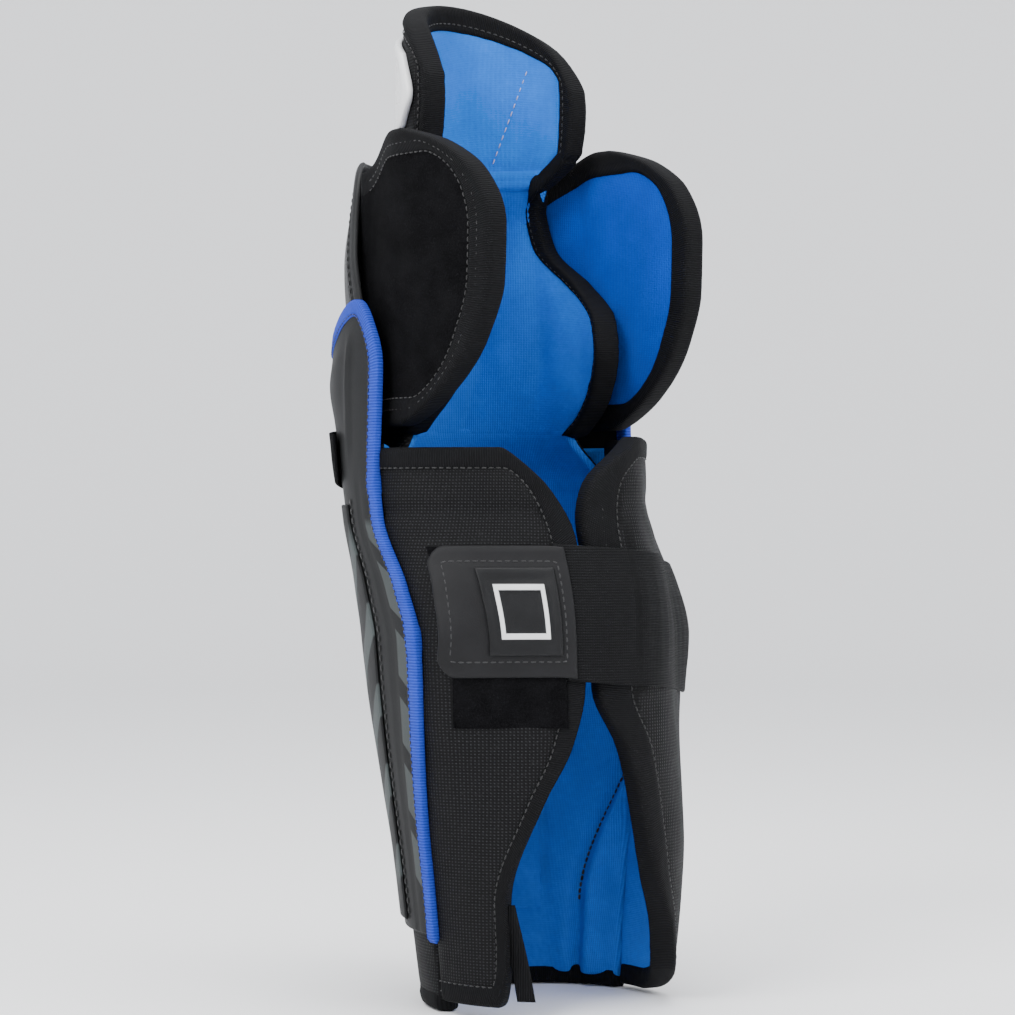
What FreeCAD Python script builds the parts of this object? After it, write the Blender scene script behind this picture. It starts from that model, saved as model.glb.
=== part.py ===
import FreeCAD, Part
import math
import os

# An ice hockey leg guard: hard shin shell and knee cup, padded liner, knee wings, calf wings,
# a thigh flap with its own plate, and one calf strap. Millimetres, +Z up, shell facing -Y.
V = FreeCAD.Vector
NEAR, FAR = 1, -1  # the guard's two sides, at +X and -X
SIDES = (("near", NEAR), ("far", FAR))

# Heights above the lower hem
SHELL_BOTTOM, SHELL_TOP = 40, 362
CALF_TOP = 292
KNEE_TOP, FLEX_Z = 418, 424
PLATE_BOTTOM, PLATE_TOP = 334, 440
FLAP_TOP = 526
EAR_BOTTOM, EAR_TOP = 297, 449
STRAP_TOP, STRAP_WIDTH, STRAP_DROP = 238, 68, 14

# Fore and aft places
CALF_HINGE_Y = 46  # just behind the rearmost point of the shell's edge
FLEX_Y = -26  # the crease that the thigh flap bends on
EAR_HINGE_Y, EAR_X = 7, 77  # the knee wings' sewn line and their outer face there
KNEE_CENTRE_Y = -5
KNEE_HALF, KNEE_FRONT, KNEE_BACK = 61, 74, 62  # the knee liner's half width and its reach both ways
THIGH_CENTRE_Y = 2
ORIGIN_SHIFT = 0.9  # brings the middle of the footprint to the origin

# Thicknesses
SHELL = 2.6
TAPE_OUT, TAPE_WIDTH = 1.1, 9
GAP = 0.4  # between sewn layers
FOAM = 9
LINING = 1.2
WING_FOAM = 8
PLATE = 2.4
STRAP_THICK, TAB_THICK = 2.2, 4
HEM_OVER = 1.0  # how far a binding stands over the layers that it wraps


def eased(*points):
    """A smooth curve through (place, value) points that never overshoots them."""
    xs, ys = zip(*points)
    step = [b - a for a, b in zip(xs, xs[1:])]
    rise = [(b - a) / s for a, b, s in zip(ys, ys[1:], step)]
    slope = [rise[0]]
    for before, after in zip(rise, rise[1:]):
        level = before * after <= 0
        slope.append(0 if level else 2 * before * after / (before + after))
    slope.append(rise[-1])

    def value(x):
        i = 0
        while i < len(step) - 1 and x > xs[i + 1]:
            i += 1
        t = min(max((x - xs[i]) / step[i], 0), 1)
        bend = slope[i] * t * (1 - t) ** 2 - slope[i + 1] * t * t * (1 - t)
        return ys[i] + (ys[i + 1] - ys[i]) * t * t * (3 - 2 * t) + step[i] * bend

    return value


def between(low, high, t):
    return low + (high - low) * t


# The shell's outer section at each height: half an ellipse, open behind.
HALF_WIDTH = eased((0, 69), (82, 78), (136, 86), (200, 92), (243, 90), (305, 87), (345, 86), (SHELL_TOP, 84))
SHELL_REAR = eased((0, 31), (82, 31), (136, 36), (188, 41), (215, 30), (250, 7), (280, 2), (330, 3), (SHELL_TOP, -2))
SHELL_FRONT = eased((0, -38), (82, -49), (170, -70), (253, -83), (290, -96), (322, -106), (SHELL_TOP, -97))
# The wings' back wall: how far behind the shell's edge it reaches and how flat its sides are pulled.
CALF_BACK = eased((0, 96), (90, 101), (200, 100), (264, 86), (300, 82))
CALF_PULL = eased((0, 0), (80, 0.02), (134, 0.13), (200, 0.19), (264, 0.15), (300, 0.13))
# How far the far wing is drawn in from the shell's edge by its strap.
FAR_TUCK = eased((0, 0), (110, 2), (165, 8), (240, 8), (270, 5), (300, 3))
# Where each wing's free edge lies, in degrees round from the shell's edge.
NEAR_FREE = eased((0, 33), (56, 33), (108, 51), (136, 64), (165, 70), (240, 71), (264, 60), (CALF_TOP - 6, 46))
FAR_FREE = eased((0, 52), (30, 62), (66, 79), (134, 95), (165, 107), (240, 107), (268, 103), (CALF_TOP, 84))


def shell_point(angle, z, inset):
    """On the shell's section: 0 degrees at the shin, 90 at the near edge, -90 at the far edge."""
    a = math.radians(angle)
    deep = SHELL_REAR(z) - SHELL_FRONT(z) - inset
    return V((HALF_WIDTH(z) - inset) * math.sin(a), SHELL_REAR(z) - deep * math.cos(a), z)


def calf_point(side, angle, z, inset):
    """On the wings' section, from 0 degrees at the shell's edge to 90 at the middle of the back."""
    a = math.radians(angle)
    near = 1 - CALF_PULL(z) * math.sin(2 * a) ** 2
    deep = CALF_BACK(z) - SHELL_REAR(z) - inset
    wide = HALF_WIDTH(z) - SHELL - 1.4 - inset - (FAR_TUCK(z) if side == FAR else 0)
    return V(side * wide * math.cos(a) * near, SHELL_REAR(z) + deep * math.sin(a) * near, z)


def calf_angle_at(y, z, inset):
    """The angle on the wings' section at which it is y behind, found by halving."""
    low, high = 0, 60
    for _ in range(24):
        middle = (low + high) / 2
        if calf_point(NEAR, middle, z, inset).y < y:
            low = middle
        else:
            high = middle
    return low


def knee_point(angle, z, inset):
    """On the knee liner's oval section, with its outside at inset 0."""
    a = math.radians(angle)
    deep = KNEE_FRONT if abs(angle) < 90 else KNEE_BACK
    return V((KNEE_HALF - inset) * math.sin(a), KNEE_CENTRE_Y - (deep - inset) * math.cos(a), z)


def thigh_point(angle, z, inset):
    """On the thigh flap's section, with the outside of its plate at inset 0."""
    a = math.radians(angle)
    return V((58 - inset) * math.sin(a), THIGH_CENTRE_Y - (62 - inset) * math.cos(a), z)


def skin(place, inset, nu, nv):
    """A smooth surface through nu x nv points of place(u, v, inset)."""
    rows = [[place(i / (nu - 1), j / (nv - 1), inset) for j in range(nv)] for i in range(nu)]
    made = Part.BSplineSurface()
    made.interpolate(rows)
    return made


def slab(place, outer, inner, nu=9, nv=9):
    """A closed sheet between two insets, over u and v from 0 to 1."""
    skins = [skin(place, inset, nu, nv) for inset in (outer, inner)]
    faces = [one.toShape() for one in skins]
    u0, u1, v0, v1 = skins[0].bounds()
    for at in (u0, u1):
        faces.append(Part.makeRuledSurface(*[one.uIso(at).toShape() for one in skins]))
    for at in (v0, v1):
        faces.append(Part.makeRuledSurface(*[one.vIso(at).toShape() for one in skins]))
    shell = Part.makeShell(faces)
    shell.sewShape()
    body = Part.makeSolid(Part.Shell(shell.Faces))
    if body.Volume < 0:
        body.reverse()
    return body


def open_hem(s, r, wide_u, wide_v, corner=0.12):
    """A hem round three sides of a unit square, s along it and r across it, open at u = 0."""
    reach_u, reach_v = 1 - wide_u * r, 0.5 - wide_v * r
    turn = corner * (1 - 0.8 * r)
    along = [reach_u - turn, turn * math.pi / 2, 2 * (reach_v - turn), turn * math.pi / 2, reach_u - turn]
    at = s * sum(along)
    if at <= along[0]:
        return at, 0.5 - reach_v
    if at >= sum(along[:4]):
        return sum(along) - at, 0.5 + reach_v
    if along[0] + along[1] <= at <= sum(along[:3]):
        return reach_u, 0.5 - reach_v + turn + at - along[0] - along[1]
    lower = at < along[0] + along[1]
    a = (at - along[0]) / turn if lower else (at - sum(along[:3])) / turn
    out, rise = (math.sin(a), math.cos(a)) if lower else (math.cos(a), math.sin(a))
    v = reach_v - turn + turn * rise
    return reach_u - turn + turn * out, 0.5 - v if lower else 0.5 + v


def hem_on(place, outer, inner, wide_u, wide_v, corner=0.12):
    """The binding that wraps the three free sides of a piece."""
    return slab(
        lambda s, r, inset: place(*open_hem(s, r, wide_u, wide_v, corner), inset), outer, inner, 33, 3
    )


def within(place, wide_u, wide_v):
    """The same place function without the part of the square that its hem covers."""
    return lambda u, v, inset: place(u * (1 - wide_u), between(wide_v, 1 - wide_v, v), inset)


def save(name, shape):
    if not shape.isValid() or shape.Volume <= 0:
        raise ValueError(f"{name} is not a sound solid")
    shape.translate(V(0, ORIGIN_SHIFT, 0))
    shape.exportStep(f"parts/{name}.step")


def shell_top(angle):
    """The shell's top edge: lower over the shin, highest near its sides, rounded down at its edges."""
    side = abs(angle)
    t = min(max((76 - side) / 36, 0), 1)
    return SHELL_TOP - 20 * t * t * (3 - 2 * t) - 0.17 * max(side - 76, 0) ** 2


def make_shell():
    """The moulded shell with the knee cup, its front panel, the tape on its edges and its hook patches."""
    half = 88

    def wall(u, v, inset):
        angle = between(-half, half, u)
        return shell_point(angle, between(SHELL_BOTTOM, shell_top(angle), v), inset)

    save("shin_shell", slab(wall, 0, SHELL, 19, 17))

    def front(u, v, inset):
        return shell_point(between(-66, 66, u), between(SHELL_BOTTOM + 8, 256, v), inset)

    save("front_panel", slab(front, -2.0, -0.8, 19, 15))

    for word, side in SIDES:
        def edge(u, v, inset):
            z = between(SHELL_BOTTOM - 4, shell_top(half) - 3, v)
            return shell_point(side * between(half + 0.4, half + 2.8, u), z, inset)

        save(f"edge_tape_{word}", slab(edge, -TAPE_OUT, SHELL + TAPE_OUT, 3, 17))

        def hook(u, v, inset):
            return shell_point(side * between(50, 74, u), between(90, 200, v), inset)

        save(f"shell_hook_patch_{word}", slab(hook, SHELL + 0.1, SHELL + 1.7, 5, 7))

    def top(u, v, inset):
        angle = between(-half, half, u)
        return shell_point(angle, shell_top(angle) + between(0.5, TAPE_WIDTH / 2, v), inset)

    save("edge_tape_top", slab(top, -TAPE_OUT, SHELL + TAPE_OUT, 45, 3))


LINER_OUT = SHELL + 2.2  # outside of the liner, under the hook patches


def make_liner():
    """The removable shin liner: foam, ribs of thicker foam, blue lining and the hem below the shell."""
    half = 84
    foam_in = LINER_OUT + FOAM

    def foam(u, v, inset):
        return shell_point(between(-half, half, u), between(9, CALF_TOP - 4, v), inset)

    save("shin_foam", slab(foam, LINER_OUT, foam_in, 11, 13))
    save("shin_lining", slab(foam, foam_in + GAP, foam_in + GAP + LINING, 11, 13))

    def hem(u, v, inset):
        return shell_point(between(-half, half, u), between(0, 8.6, v), inset)

    save("shin_hem", slab(hem, LINER_OUT - HEM_OVER, foam_in + GAP + LINING + HEM_OVER, 11, 3))
    rib_out = foam_in + GAP + LINING + GAP
    for word, centre in (("near", 27), ("middle", 0), ("far", -27)):
        def rib(u, v, inset):
            return shell_point(centre + between(-11, 11, u), between(40, 265, v), inset)

        save(f"shin_rib_{word}", slab(rib, rib_out, rib_out + 5, 5, 9))


def make_knee():
    """The knee liner, its edge bindings and the ring of foam that carries the cup."""
    edge = eased((CALF_TOP, 86), (316, 112), (338, 124), (352, 120), (376, 92), (396, 72), (KNEE_TOP, 66))
    hem = 9

    def foam(u, v, inset):
        z = between(CALF_TOP + 1, KNEE_TOP, v)
        return knee_point(between(-1, 1, u) * (edge(z) - hem), z, inset)

    save("knee_foam", slab(foam, 0, FOAM, 13, 13))
    save("knee_lining", slab(foam, FOAM + GAP, FOAM + GAP + LINING, 13, 13))
    for word, side in SIDES:
        def binding(u, v, inset):
            z = between(CALF_TOP + 2, KNEE_TOP - 1, v)
            return knee_point(side * (edge(z) - between(hem - 0.4, 0, u)), z, inset)

        save(f"knee_binding_{word}", slab(binding, -HEM_OVER, FOAM + GAP + LINING + HEM_OVER, 3, 15))

    def cup_pad(u, v, inset):
        return shell_point(between(-27, 27, u), between(CALF_TOP - 2, PLATE_BOTTOM - 8, v), inset)

    save("knee_cup_pad", slab(cup_pad, SHELL + 0.8, SHELL + 7, 7, 5))


def plate_point(angle, z, inset):
    """On the upper knee plate, whose lower part slides inside the shell's knee cup."""
    a = math.radians(angle)
    wide = eased((PLATE_BOTTOM, 73), (362, 75), (383, 76), (407, 73), (PLATE_TOP, 68))(z)
    front = eased((PLATE_BOTTOM, -92), (350, -93), (372, -95), (395, -94), (PLATE_TOP, -86))(z)
    centre = -16
    return V((wide - inset) * math.sin(a), centre + (front - centre + inset) * math.cos(a), z)


def make_knee_plate():
    """The upper knee plate, which rides up out of the cup as the knee bends."""
    def wall(u, v, inset):
        z = between(PLATE_BOTTOM, PLATE_TOP, v)
        half = eased((PLATE_BOTTOM, 82), (383, 74), (412, 66), (432, 55), (PLATE_TOP, 44))(z)
        return plate_point(between(-half, half, u), z, inset)

    save("upper_knee_plate", slab(wall, 0, PLATE, 13, 13))

    def pad(u, v, inset):
        return plate_point(between(-30, 30, u), between(372, 416, v), inset)

    save("upper_knee_pad", slab(pad, PLATE + 0.3, PLATE + 3.5, 7, 7))


def flap_foot(angle):
    """The flap's lower edge, cut up towards its sides so that it can bend back."""
    back = thigh_point(angle, 0, 3).y - FLEX_Y
    return FLEX_Z + 3 + max(back, 0) * 0.75


def flap_head(angle):
    """The flap's arched top, with its side corners rounded off."""
    return FLAP_TOP - 17 * (angle / 62) ** 2 - 60 * max(abs(angle) / 90 - 0.86, 0)


def make_thigh_flap():
    """The thigh flap: plate outside, foam, lining and the binding round its three free sides."""
    def area(low, high, half):
        def place(u, v, inset):
            angle = between(-half, half, v)
            return thigh_point(angle, between(flap_foot(angle) + low, flap_head(angle) - high, u), inset)

        return place

    whole = area(0, 0, 90)
    core = area(0, 11, 79)
    save("thigh_foam", slab(core, PLATE + 1, PLATE + 1 + FOAM, 9, 13))
    face_out = PLATE + 1 + FOAM + GAP
    save("thigh_lining", slab(core, face_out, face_out + LINING, 9, 13))
    save("thigh_binding", hem_on(whole, PLATE + 0.6, face_out + LINING + HEM_OVER, 0.13, 0.058))

    def plate(u, v, inset):
        angle = between(-1, 1, v) * (66 + 11 * math.sin(math.pi * u))
        return thigh_point(angle, between(447 + 0.0016 * angle**2, flap_head(angle) - 14, u), inset)

    save("thigh_plate", slab(plate, -1.4, PLATE - 1.4 + 1.2, 7, 13))


def ear_place(side):
    """A knee wing's own square: u back from its hinge, v up."""
    rear = eased(
        (EAR_BOTTOM, 22), (312, 40), (342, 62), (368, 72), (396, 73), (424, 62), (440, 44), (EAR_TOP, 20)
    )

    def place(u, v, inset):
        z = between(EAR_BOTTOM, EAR_TOP, v)
        y = between(EAR_HINGE_Y + 1, rear(z), u)
        lean = 0.0011 * (y - EAR_HINGE_Y) ** 2
        return V(side * (EAR_X - lean - inset), y, z)

    return place


def make_knee_wings():
    """Two padded ears beside the knee, each hinged on a sewn panel that is fixed inside the shell."""
    for word, side in SIDES:
        place = ear_place(side)
        core = within(place, 0.15, 0.085)
        save(f"knee_wing_foam_{word}", slab(core, 1.2, 1.2 + WING_FOAM, 7, 11))
        save(f"knee_wing_cover_{word}", slab(core, 0, 0.9, 7, 11))
        save(f"knee_wing_lining_{word}", slab(core, WING_FOAM + 1.5, WING_FOAM + 1.5 + LINING, 7, 11))
        binding = hem_on(place, -HEM_OVER, WING_FOAM + 2.7 + HEM_OVER, 0.155, 0.09)
        save(f"knee_wing_binding_{word}", binding)

        def panel(u, v, inset):
            z = between(EAR_BOTTOM + 2, EAR_TOP - 12, v)
            return V(side * (66.8 - inset), between(-40, EAR_HINGE_Y - 0.6, u), z)

        save(f"knee_side_panel_{word}", slab(panel, 0, 1.6, 5, 5))


def make_calf_wings():
    """Two calf wings: a fixed panel from inside the shell to the hinge, then the wing that opens."""
    wing_in = 1.2 + WING_FOAM + LINING + 0.6
    for word, side in SIDES:
        free = NEAR_FREE if side == NEAR else FAR_FREE

        def fixed(u, v, inset):
            z = between(12, CALF_TOP - 3, v)
            start = shell_point(side * 86.5, z, LINER_OUT + inset - 0.4)
            last = calf_angle_at(CALF_HINGE_Y - 3, z, inset)
            if u < 0.2:
                return start + (calf_point(side, 0.4, z, inset) - start) * (u / 0.2)
            return calf_point(side, between(0.4, last, (u - 0.2) / 0.8), z, inset)

        save(f"calf_panel_{word}", slab(fixed, 0.8, 8, 7, 15))

        def wing(u, v, inset):
            z = between(2, CALF_TOP - 6 if side == NEAR else CALF_TOP, v)
            first = calf_angle_at(CALF_HINGE_Y, z, inset)
            lift = 40 * max(u - 0.35, 0) ** 1.5 * (1 - v) ** 6 if side == FAR else 0
            point = calf_point(side, between(first, free(z), u), z, inset)
            point.z += lift
            return point

        core = within(wing, 0.12, 0.035)
        save(f"calf_wing_foam_{word}", slab(core, 1.2, 1.2 + WING_FOAM, 9, 17))
        save(f"calf_wing_cover_{word}", slab(core, 0, 0.9, 9, 17))
        save(f"calf_wing_lining_{word}", slab(core, WING_FOAM + 1.5, wing_in, 9, 17))
        binding = hem_on(wing, -HEM_OVER, wing_in + HEM_OVER, 0.125, 0.038, 0.1)
        save(f"calf_wing_binding_{word}", binding)


def strap_place(angle, across, inset):
    """On the strap, from 0 degrees beside the near shell edge round the back to 180 beside the far one."""
    top = STRAP_TOP - STRAP_DROP * max(angle - 60, 0) / 120
    z = top - STRAP_WIDTH * across
    side = NEAR if angle <= 90 else FAR
    return calf_point(side, angle if angle <= 90 else 180 - angle, z, inset)


STRAP_OUT = -HEM_OVER - 0.8  # the strap's inner face stays this far outside the wings


def make_strap():
    """The elastic calf strap with its moulded pull tab, hook patch and badge."""
    def elastic(u, v, inset):
        return strap_place(between(66, 166, u), 1 - v, inset)

    save("calf_strap", slab(elastic, STRAP_OUT - STRAP_THICK, STRAP_OUT, 17, 5))

    def tab(u, v, inset):
        round_off = 0.5 * (1 - min(u / 0.12, 1)) ** 2
        return strap_place(between(17, 65.6, u), between(0.98 - 0.2 * round_off, 0.02 + 0.2 * round_off, v), inset)

    save("strap_tab", slab(tab, STRAP_OUT - TAB_THICK, STRAP_OUT - 1.6, 13, 5))

    def hook(u, v, inset):
        return strap_place(between(24, 58, u), between(0.86, 0.14, v), inset)

    save("tab_hook_patch", slab(hook, STRAP_OUT - 1.3, STRAP_OUT - 0.2, 7, 5))

    def badge(u, v, inset):
        return strap_place(between(33, 60, u), between(0.8, 0.2, v), inset)

    save("tab_badge", slab(badge, STRAP_OUT - TAB_THICK - 1.6, STRAP_OUT - TAB_THICK - 0.3, 7, 5))


def make_front_band():
    """The short hook band that closes round the front of the shell below the knee cup."""
    def band(u, v, inset):
        angle = between(-62, 62, u)
        return shell_point(angle, between(258 + 0.2 * abs(angle), 300 - 0.1 * abs(angle), v), inset)

    save("front_band", slab(band, -3.8, -2.4, 13, 5))


make_shell()
make_liner()
make_knee()
make_knee_plate()
make_thigh_flap()
make_knee_wings()
make_calf_wings()
make_strap()
make_front_band()
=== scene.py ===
import math

import bmesh
import bpy
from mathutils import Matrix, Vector, noise


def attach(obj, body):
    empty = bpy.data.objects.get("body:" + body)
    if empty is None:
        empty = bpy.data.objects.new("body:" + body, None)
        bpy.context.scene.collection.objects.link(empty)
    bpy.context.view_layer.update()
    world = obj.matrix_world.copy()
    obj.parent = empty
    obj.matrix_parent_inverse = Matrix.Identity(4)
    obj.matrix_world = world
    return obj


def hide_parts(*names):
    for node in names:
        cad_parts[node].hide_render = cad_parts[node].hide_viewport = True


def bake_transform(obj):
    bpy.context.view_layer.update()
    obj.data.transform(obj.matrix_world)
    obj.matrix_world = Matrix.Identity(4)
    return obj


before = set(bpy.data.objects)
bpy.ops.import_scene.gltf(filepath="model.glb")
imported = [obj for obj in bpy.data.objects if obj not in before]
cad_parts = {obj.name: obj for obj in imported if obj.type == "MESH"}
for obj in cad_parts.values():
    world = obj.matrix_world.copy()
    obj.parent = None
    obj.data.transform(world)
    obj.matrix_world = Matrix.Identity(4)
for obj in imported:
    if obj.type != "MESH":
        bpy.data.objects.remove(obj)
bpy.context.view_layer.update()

# Lengths are in millimetres until a mesh is made. Heights are above the lower hem.
MM = 0.001
NEAR, FAR = 1, -1
SIDES = (("near", NEAR), ("far", FAR))
ORIGIN_SHIFT = 0.9
SHELL_BOTTOM, SHELL_TOP = 40, 362
CALF_TOP = 292
KNEE_TOP, FLEX_Z = 418, 424
PLATE_BOTTOM, PLATE_TOP = 334, 440
FLAP_TOP = 526
EAR_BOTTOM, EAR_TOP = 297, 449
STRAP_TOP, STRAP_WIDTH, STRAP_DROP = 238, 68, 14
FLEX_Y, EAR_HINGE_Y, EAR_X = -26, 7, 77
KNEE_CENTRE_Y, KNEE_HALF, KNEE_FRONT, KNEE_BACK = -5, 61, 74, 62
THIGH_CENTRE_Y = 2
SHELL, TAPE_OUT, FOAM, LINING, WING_FOAM, PLATE = 2.6, 1.1, 9, 1.2, 8, 2.4
HEM_OVER = 1.0
LINER_OUT = SHELL + 2.2
STRAP_OUT = -HEM_OVER - 0.8
WING_IN = 1.2 + WING_FOAM + LINING + 0.6


def eased(*points):
    """A smooth curve through (place, value) points that never overshoots them."""
    xs, ys = zip(*points)
    step = [b - a for a, b in zip(xs, xs[1:])]
    rise = [(b - a) / s for a, b, s in zip(ys, ys[1:], step)]
    slope = [rise[0]]
    for before, after in zip(rise, rise[1:]):
        level = before * after <= 0
        slope.append(0 if level else 2 * before * after / (before + after))
    slope.append(rise[-1])

    def value(x):
        i = 0
        while i < len(step) - 1 and x > xs[i + 1]:
            i += 1
        t = min(max((x - xs[i]) / step[i], 0), 1)
        bend = slope[i] * t * (1 - t) ** 2 - slope[i + 1] * t * t * (1 - t)
        return ys[i] + (ys[i + 1] - ys[i]) * t * t * (3 - 2 * t) + step[i] * bend

    return value


def between(low, high, t):
    return low + (high - low) * t


def soft_step(low, high, x):
    t = min(max((x - low) / (high - low), 0), 1)
    return t * t * (3 - 2 * t)


def hump(x, middle, width):
    return math.exp(-(((x - middle) / width) ** 2))


# ---- The guard's own sections, the same as the hard parts have ----
HALF_WIDTH = eased((0, 69), (82, 78), (136, 86), (200, 92), (243, 90), (305, 87), (345, 86), (SHELL_TOP, 84))
SHELL_REAR = eased(
    (0, 31), (82, 31), (136, 36), (188, 41), (215, 30), (250, 7), (280, 2), (330, 3), (SHELL_TOP, -2)
)
SHELL_FRONT = eased((0, -38), (82, -49), (170, -70), (253, -83), (290, -96), (322, -106), (SHELL_TOP, -97))
CALF_BACK = eased((0, 96), (90, 101), (200, 100), (264, 86), (300, 82))
CALF_PULL = eased((0, 0), (80, 0.02), (134, 0.13), (200, 0.19), (264, 0.15), (300, 0.13))
FAR_TUCK = eased((0, 0), (110, 2), (165, 8), (240, 8), (270, 5), (300, 3))
NEAR_FREE = eased(
    (0, 33), (56, 33), (108, 51), (136, 64), (165, 70), (240, 72), (264, 67), (CALF_TOP - 6, 55)
)
FAR_FREE = eased((0, 52), (30, 62), (66, 79), (134, 95), (165, 107), (240, 107), (268, 103), (CALF_TOP, 84))
KNEE_EDGE = eased((CALF_TOP, 86), (316, 112), (338, 124), (352, 120), (376, 92), (396, 72), (KNEE_TOP, 66))
EAR_REAR = eased(
    (EAR_BOTTOM, 22), (312, 40), (342, 62), (368, 72), (396, 73), (424, 62), (440, 44), (EAR_TOP, 20)
)
PLATE_HALF = eased((PLATE_BOTTOM, 82), (383, 74), (412, 66), (432, 55), (PLATE_TOP, 44))
PLATE_WIDE = eased((PLATE_BOTTOM, 73), (362, 75), (383, 76), (407, 73), (PLATE_TOP, 68))
PLATE_FRONT = eased((PLATE_BOTTOM, -92), (350, -93), (372, -95), (395, -94), (PLATE_TOP, -86))
KNEE_HEM = 9
SHELL_HALF, LINER_HALF = 88, 84  # how far round each side the shell and its liner reach, in degrees
LINER_FOOT, LINER_TOP = 5, CALF_TOP - 4
BADGE_WIDE, BADGE_HIGH = 50, 43
CLOTH_RADIUS = 78  # turns degrees round the leg into millimetres on the cloth


def shell_point(angle, z, inset):
    """On the shell's section: 0 degrees at the shin, 90 at the near edge, -90 at the far edge."""
    a = math.radians(angle)
    deep = SHELL_REAR(z) - SHELL_FRONT(z) - inset
    return Vector(((HALF_WIDTH(z) - inset) * math.sin(a), SHELL_REAR(z) - deep * math.cos(a), z))


def calf_point(side, angle, z, inset):
    """On the wings' section, from 0 degrees at the shell's edge to 90 at the middle of the back."""
    if angle < 0:
        drawn = FAR_TUCK(z) * soft_step(-6, 0, angle) if side == FAR else 0
        return shell_point(side * (90 + angle), z, SHELL + 1.4 + inset + drawn)
    a = math.radians(angle)
    near = 1 - CALF_PULL(z) * math.sin(2 * a) ** 2
    deep = CALF_BACK(z) - SHELL_REAR(z) - inset
    wide = HALF_WIDTH(z) - SHELL - 1.4 - inset - (FAR_TUCK(z) if side == FAR else 0)
    return Vector((side * wide * math.cos(a) * near, SHELL_REAR(z) + deep * math.sin(a) * near, z))


def knee_point(angle, z, inset):
    a = math.radians(angle)
    deep = KNEE_FRONT if abs(angle) < 90 else KNEE_BACK
    return Vector(((KNEE_HALF - inset) * math.sin(a), KNEE_CENTRE_Y - (deep - inset) * math.cos(a), z))


def thigh_point(angle, z, inset):
    a = math.radians(angle)
    return Vector(((58 - inset) * math.sin(a), THIGH_CENTRE_Y - (62 - inset) * math.cos(a), z))


def plate_point(angle, z, inset):
    a = math.radians(angle)
    centre = -16
    deep = PLATE_FRONT(z) - centre + inset
    return Vector(((PLATE_WIDE(z) - inset) * math.sin(a), centre + deep * math.cos(a), z))


def strap_place(angle, across, inset):
    z = STRAP_TOP - STRAP_DROP * max(angle - 60, 0) / 120 - STRAP_WIDTH * across
    return calf_point(NEAR if angle <= 90 else FAR, angle if angle <= 90 else 180 - angle, z, inset)


def shell_top(angle):
    side = abs(angle)
    t = min(max((76 - side) / 36, 0), 1)
    return SHELL_TOP - 20 * t * t * (3 - 2 * t) - 0.17 * max(side - 76, 0) ** 2


def flap_foot(angle):
    back = thigh_point(angle, 0, 3).y - FLEX_Y
    return FLEX_Z + 3 + max(back, 0) * 0.75


def flap_head(angle):
    return FLAP_TOP - 17 * (angle / 62) ** 2 - 8.4 * (max(abs(angle) / 90 - 0.74, 0) / 0.26) ** 2


def open_hem(s, r, wide_u, wide_v, corner=0.12):
    """A hem round three sides of a unit square, s along it and r across it, open at u = 0."""
    reach_u, reach_v = 1 - wide_u * r, 0.5 - wide_v * r
    turn = corner * (1 - 0.5 * r)
    along = [reach_u - turn, turn * math.pi / 2, 2 * (reach_v - turn), turn * math.pi / 2, reach_u - turn]
    at = s * sum(along)
    if at <= along[0]:
        return at, 0.5 - reach_v
    if at >= sum(along[:4]):
        return sum(along) - at, 0.5 + reach_v
    if along[0] + along[1] <= at <= sum(along[:3]):
        return reach_u, 0.5 - reach_v + turn + at - along[0] - along[1]
    lower = at < along[0] + along[1]
    a = (at - along[0]) / turn if lower else (at - sum(along[:3])) / turn
    out, rise = (math.sin(a), math.cos(a)) if lower else (math.cos(a), math.sin(a))
    v = reach_v - turn + turn * rise
    return reach_u - turn + turn * out, 0.5 - v if lower else 0.5 + v


def within(place, wide_u, wide_v, corner=0.12):
    """The same place function without the rim that its hem covers, its corners rounded as the hem's are."""
    def core(u, v, inset):
        u *= 1 - wide_u
        turn = max(u - 1 + corner, 0)
        reach = 0.5 - wide_v - corner + math.sqrt(max(corner**2 - turn**2, 0))
        return place(u, 0.5 + (v - 0.5) * 2 * reach, inset)

    return core


# ---- Meshes ----
def make_mesh(name, points, faces, weave, finishes, slots=None):
    """A mesh from points in millimetres; weave gives each face corner its place on the cloth."""
    mesh = bpy.data.meshes.new(name)
    mesh.from_pydata([(p.x * MM, (p.y + ORIGIN_SHIFT) * MM, p.z * MM) for p in points], [], faces)
    if weave:
        cloth = mesh.attributes.new("weave", "FLOAT_VECTOR", "CORNER")
        cloth.data.foreach_set("vector", [x for face in weave for corner in face for x in corner])
    for finish in finishes:
        mesh.materials.append(finish)
    if slots:
        mesh.polygons.foreach_set("material_index", slots)
    mesh.polygons.foreach_set("use_smooth", [True] * len(mesh.polygons))
    mesh.update()
    piece = bpy.data.objects.new(name, mesh)
    bpy.context.scene.collection.objects.link(piece)
    outward = bmesh.new()
    outward.from_mesh(mesh)
    bmesh.ops.recalc_face_normals(outward, faces=outward.faces)
    outward.to_mesh(mesh)
    outward.free()
    return piece


def stations(length, edge, step):
    """Places from 0 to 1 along a side, close together where its edge is rounded."""
    edge = min(edge, length * 0.3)
    rim = [edge * t / length for t in (0, 0.06, 0.25, 0.58)]
    count = max(int((length - 2 * edge) / step), 2)
    middle = [between(edge / length, 1 - edge / length, i / count) for i in range(count + 1)]
    return rim + middle + [1 - t for t in reversed(rim)]


def unroll(point, _u, _v):
    """Where a point is on cloth that is laid round the leg."""
    return (math.atan2(point.x, -point.y) * CLOTH_RADIUS, point.z, 0)


def side_view(point, _u, _v):
    return (point.y, point.z, 0)


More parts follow.
